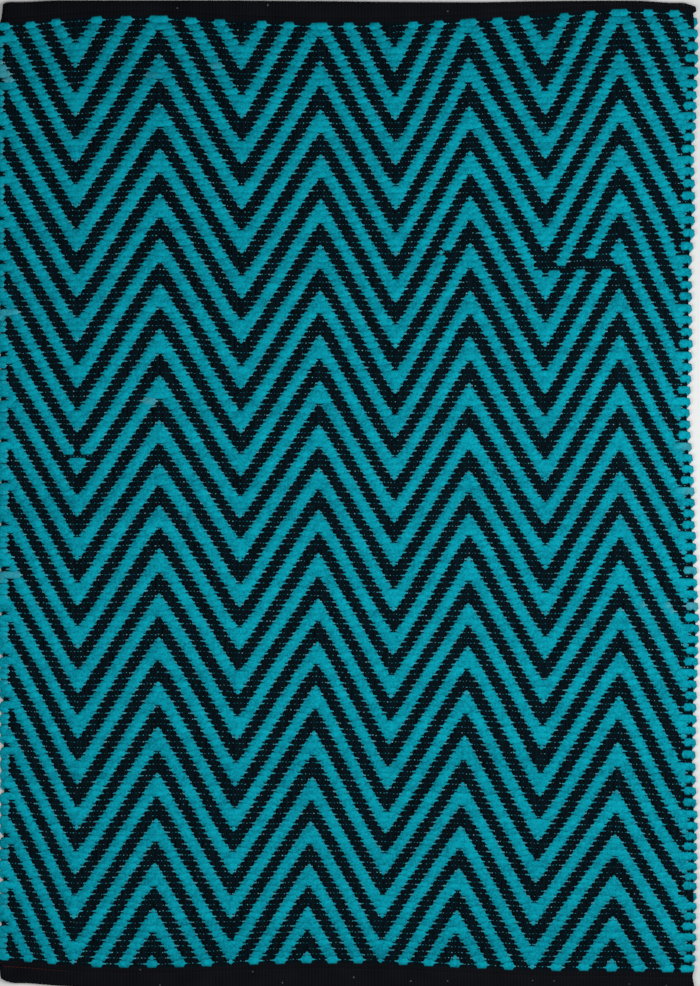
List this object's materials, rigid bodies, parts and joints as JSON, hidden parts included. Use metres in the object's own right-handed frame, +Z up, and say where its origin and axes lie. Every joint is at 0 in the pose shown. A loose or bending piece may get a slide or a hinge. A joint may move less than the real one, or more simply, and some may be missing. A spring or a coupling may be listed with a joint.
{
  "type": "cotton dhurrie rug",
  "caption": "Flat hand-woven cotton rug with a zigzag twill in teal and black, uneven looped selvedges and narrow black turned-in hems.",
  "frame": {"origin": "middle of the flat underside, on the surface that the rug lies on", "axes": "+X across the rug to the right, +Y along it to the head end, +Z up out of its face"},
  "size_m": [0.605, 0.852, 0.006],
  "materials": {
    "teal_cotton": "soft thick cotton weft, matt, slightly fuzzy",
    "black_cotton": "black cotton warp and plain woven heading, matt",
    "sewing_thread": "dark red and black sewing thread along the hems"
  },
  "bodies": {
    "root": {"rug": "teal_cotton"}
  },
  "joints": []
}
